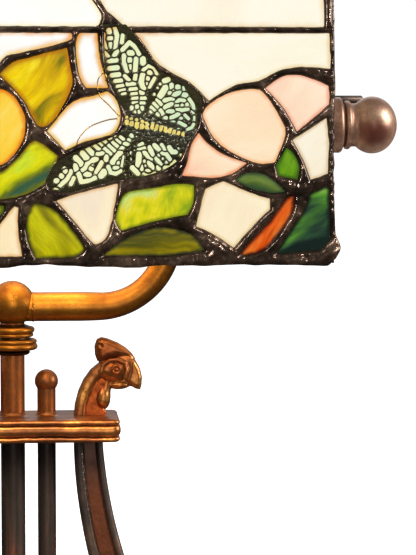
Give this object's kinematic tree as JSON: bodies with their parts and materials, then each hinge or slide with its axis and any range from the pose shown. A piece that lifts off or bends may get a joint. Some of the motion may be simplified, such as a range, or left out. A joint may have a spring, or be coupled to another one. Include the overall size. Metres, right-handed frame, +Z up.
{
  "type": "table lamp",
  "caption": "Stained glass table lamp with a tilting barrel shade, butterfly and flower panel, bronze yoke arms, ball knobs and bird-headed legs on an oval base.",
  "frame": {"origin": "centre of the underside of the felt pad, on the table", "axes": "+Z up, -Y towards the floral front panel, +X to the right seen from the front, along the pivot axis"},
  "size_m": [0.3184, 0.15, 0.3774],
  "materials": {
    "bronze": "brushed antique bronze",
    "dark_bronze": "dark antique bronze",
    "lead": "dark patinated solder",
    "steel": "plain",
    "brass": "polished",
    "gland": "moulded",
    "felt": "felt",
    "bulb": "opal",
    "cream": "opalescent",
    "white": "opalescent",
    "pink": "opalescent",
    "orange": "opalescent",
    "yellow": "streaky",
    "green": "streaky",
    "red": "streaky",
    "pale_green": "opalescent"
  },
  "bodies": {
    "stand": {"felt_pad": "felt", "bottom_cover": "steel", "counterweight": "steel", "base_plinth": "bronze", "cover_screws": "steel", "cord_gland": "gland", "column_nut": "steel", "column": "dark_bronze", "finial_rods": "dark_bronze", "foot_screws": "steel", "leg_left": "dark_bronze", "leg_right": "dark_bronze", "bridge_plate": "bronze", "bridge_screws": "steel", "bird_head_left": "bronze", "bird_head_right": "bronze", "column_rings": "bronze", "hub_ball": "bronze", "arm_left": "bronze", "arm_right": "bronze", "upright_tees": "bronze", "pivot_shaft_left": "steel", "pivot_shaft_right": "steel", "lampholder": "brass", "bulb_cap": "brass", "bulb_glass": "bulb"},
    "shade": {"front_came": "lead", "butterfly_filigree": "lead", "glass_cream": "cream", "glass_white": "white", "glass_pink": "pink", "glass_orange": "orange", "glass_yellow_leaf": "yellow", "glass_green_leaf": "green", "glass_red_leaf": "red", "glass_butterfly": "pale_green", "rear_came": "lead", "rear_glass_cream": "cream", "rear_glass_green": "green", "top_ribs": "lead", "top_rails": "lead", "top_glass": "cream", "end_came_left": "lead", "end_came_right": "lead", "end_glass": "cream", "pivot_boss_left": "bronze", "pivot_boss_right": "bronze", "boss_nuts": "steel", "friction_washers": "steel", "finger_bars": "bronze"},
    "left_knob": {"knob_left": "dark_bronze"},
    "right_knob": {"knob_right": "dark_bronze"}
  },
  "joints": [
    {"name": "shade_tilt", "type": "hinge", "parent": "stand", "child": "shade", "pos_m": [0, 0, 0.2935], "axis": [1, 0, 0], "range_deg": [-30, 30]},
    {"name": "knob_left_turn", "type": "hinge", "parent": "stand", "child": "left_knob", "pos_m": [-0.1489, 0, 0.2935], "axis": [1, 0, 0], "range_deg": [-180, 180]},
    {"name": "knob_right_turn", "type": "hinge", "parent": "stand", "child": "right_knob", "pos_m": [0.1489, 0, 0.2935], "axis": [1, 0, 0], "range_deg": [-180, 180]}
  ]
}
